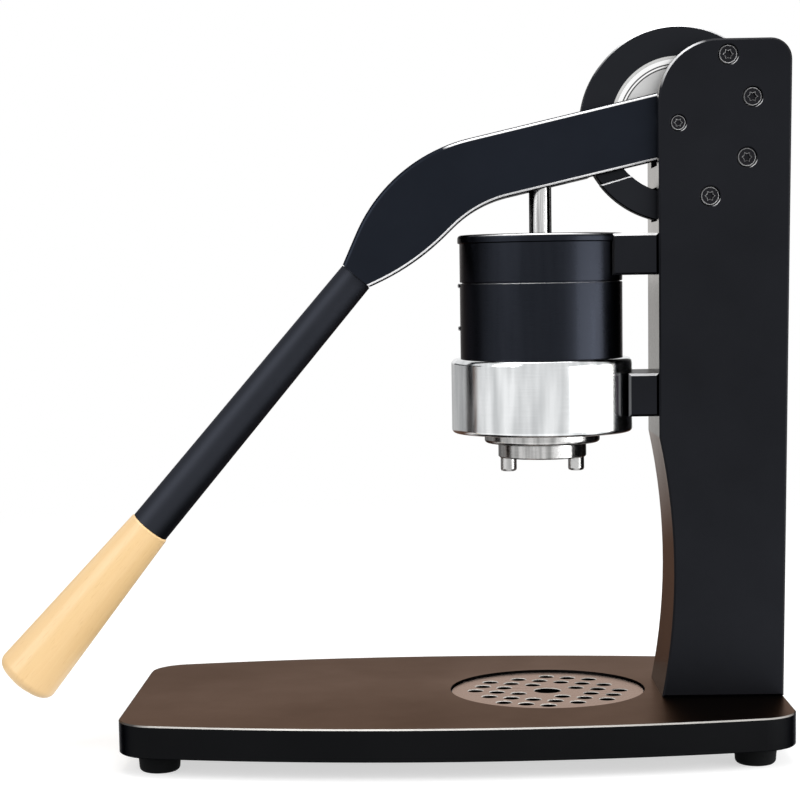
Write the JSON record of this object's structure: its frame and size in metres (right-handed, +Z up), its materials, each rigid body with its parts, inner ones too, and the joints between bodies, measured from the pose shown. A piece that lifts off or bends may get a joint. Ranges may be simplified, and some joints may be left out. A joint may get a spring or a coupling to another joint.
{
  "type": "lever espresso press",
  "caption": "Countertop lever espresso press: column and brew group on a flat base, a cranked lever with a wooden grip drives the piston, drip tray below the spouts.",
  "frame": {"origin": "on the table under the middle of the whole footprint, lever at rest", "axes": "+Z up, +X from the grip to the column, -Y the side that faces the user"},
  "size_m": [0.3836, 0.181, 0.3435],
  "materials": {
    "black_anodised": "satin black anodised",
    "black_tube": "semi-gloss black",
    "polished_aluminium": "polished, finely turned",
    "stainless_steel": "turned and brushed",
    "ground_steel": "ground",
    "black_screws": "black oxide",
    "bronze": "plain turned",
    "foot_rubber": "moulded",
    "seal_rubber": "moulded",
    "pale_wood": "smooth, clear coated"
  },
  "bodies": {
    "stand": {"base_plate": "black_anodised", "foot_screws": "black_screws", "column_plate_front": "black_anodised", "column_plate_rear": "black_anodised", "column_core": "black_anodised", "column_bolts": "black_screws", "bearing_ring": "black_anodised", "bearing_shell": "ground_steel", "ring_spacers": "ground_steel", "ring_screws_front": "black_screws", "ring_screws_rear": "black_screws", "pivot_axle": "ground_steel", "axle_screws": "black_screws", "axle_collar": "ground_steel", "upper_sleeve": "black_anodised", "lower_sleeve": "black_anodised", "sleeve_pins": "black_screws", "cylinder_liner": "stainless_steel", "liner_seal": "seal_rubber", "group_collar": "polished_aluminium", "group_gasket": "seal_rubber", "shower_screen": "stainless_steel", "upper_bracket": "black_anodised", "lower_bracket": "black_anodised", "bracket_bolts": "black_screws", "bracket_screws": "black_screws", "foot_front_left": "foot_rubber", "foot_back_left": "foot_rubber", "foot_front_right": "foot_rubber", "foot_back_right": "foot_rubber"},
    "lever": {"lever_arm": "black_anodised", "bearing_journal": "ground_steel", "journal_screws": "black_screws", "pivot_bush_front": "bronze", "pivot_bush_rear": "bronze", "lever_tube": "black_tube", "tube_stud": "ground_steel", "wood_grip": "pale_wood", "grip_insert": "ground_steel"},
    "piston": {"piston_rod": "stainless_steel", "crosshead_pin": "ground_steel", "piston_head": "stainless_steel", "piston_seal_lower": "seal_rubber", "piston_seal_upper": "seal_rubber", "piston_nut": "stainless_steel"},
    "front_roller": {"slot_roller_front": "ground_steel"},
    "rear_roller": {"slot_roller_rear": "ground_steel"},
    "basket_holder": {"basket_carrier": "stainless_steel", "filter_basket": "stainless_steel", "spout_body": "stainless_steel", "spouts": "stainless_steel"},
    "cup": {"drip_cup": "black_anodised"},
    "grate": {"drip_grate": "stainless_steel"}
  },
  "joints": [
    {"name": "lever_swing", "type": "hinge", "parent": "stand", "child": "lever", "pos_m": [0.1412, 0, 0.2976], "axis": [0, 1, 0], "range_deg": [0, 48]},
    {"name": "piston_slide", "type": "slide", "parent": "stand", "child": "piston", "axis": [0, 0, 1], "range_m": [0, 0.05471]},
    {"name": "front_roller_spin", "type": "hinge", "parent": "piston", "child": "front_roller", "pos_m": [0.0759, 0, 0.2871], "axis": [0, 1, 0], "continuous": true},
    {"name": "rear_roller_spin", "type": "hinge", "parent": "piston", "child": "rear_roller", "pos_m": [0.0759, 0, 0.2871], "axis": [0, 1, 0], "continuous": true},
    {"name": "holder_twist", "type": "hinge", "parent": "stand", "child": "basket_holder", "pos_m": [0.0759, 0, 0.1461], "axis": [0, 0, 1], "range_deg": [0, 45]},
    {"name": "cup_lift", "type": "slide", "parent": "stand", "child": "cup", "axis": [0, 0, 1], "range_m": [0, 0.03]},
    {"name": "grate_lift", "type": "slide", "parent": "cup", "child": "grate", "axis": [0, 0, 1], "range_m": [0, 0.03]}
  ],
  "couplings": [
    {"joint": "piston_slide", "follows": "lever_swing", "m_per_rad": 0.0653}
  ]
}
